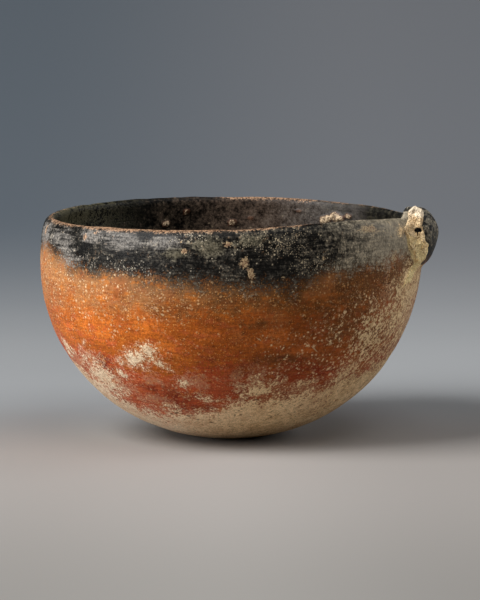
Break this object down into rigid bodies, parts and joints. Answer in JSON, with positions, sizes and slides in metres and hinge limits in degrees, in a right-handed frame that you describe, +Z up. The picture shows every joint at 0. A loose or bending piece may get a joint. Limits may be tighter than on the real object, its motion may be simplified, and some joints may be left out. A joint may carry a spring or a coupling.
{
  "type": "pottery bowl",
  "caption": "Small round-bottomed, hand-built and burnished earthenware bowl with a smoke-black rim and a pierced lug, for holding food or drink and hanging on a cord.",
  "frame": {"origin": "centre of the small flat on the bottom that the bowl rests on", "axes": "+Z up along the bowl's axis, +X out through the lug on the rim, +Y completes the right-handed frame"},
  "size_m": [0.1527, 0.1448, 0.0901],
  "materials": {
    "burnished_ware": "burnished red slip, smoke-black towards the rim and inside, worn, with pale lime film on the base",
    "smoked_ware": "smoke-blackened burnished clay, worn and speckled",
    "luting_clay": "smeared clay, dull, stained by lime",
    "lime_crust": "matt, crumbly pale lime and soil crust"
  },
  "bodies": {
    "root": {"bowl_body": "burnished_ware", "rim_lug": "smoked_ware", "lug_luting": "luting_clay", "lime_crust": "lime_crust"}
  },
  "joints": []
}
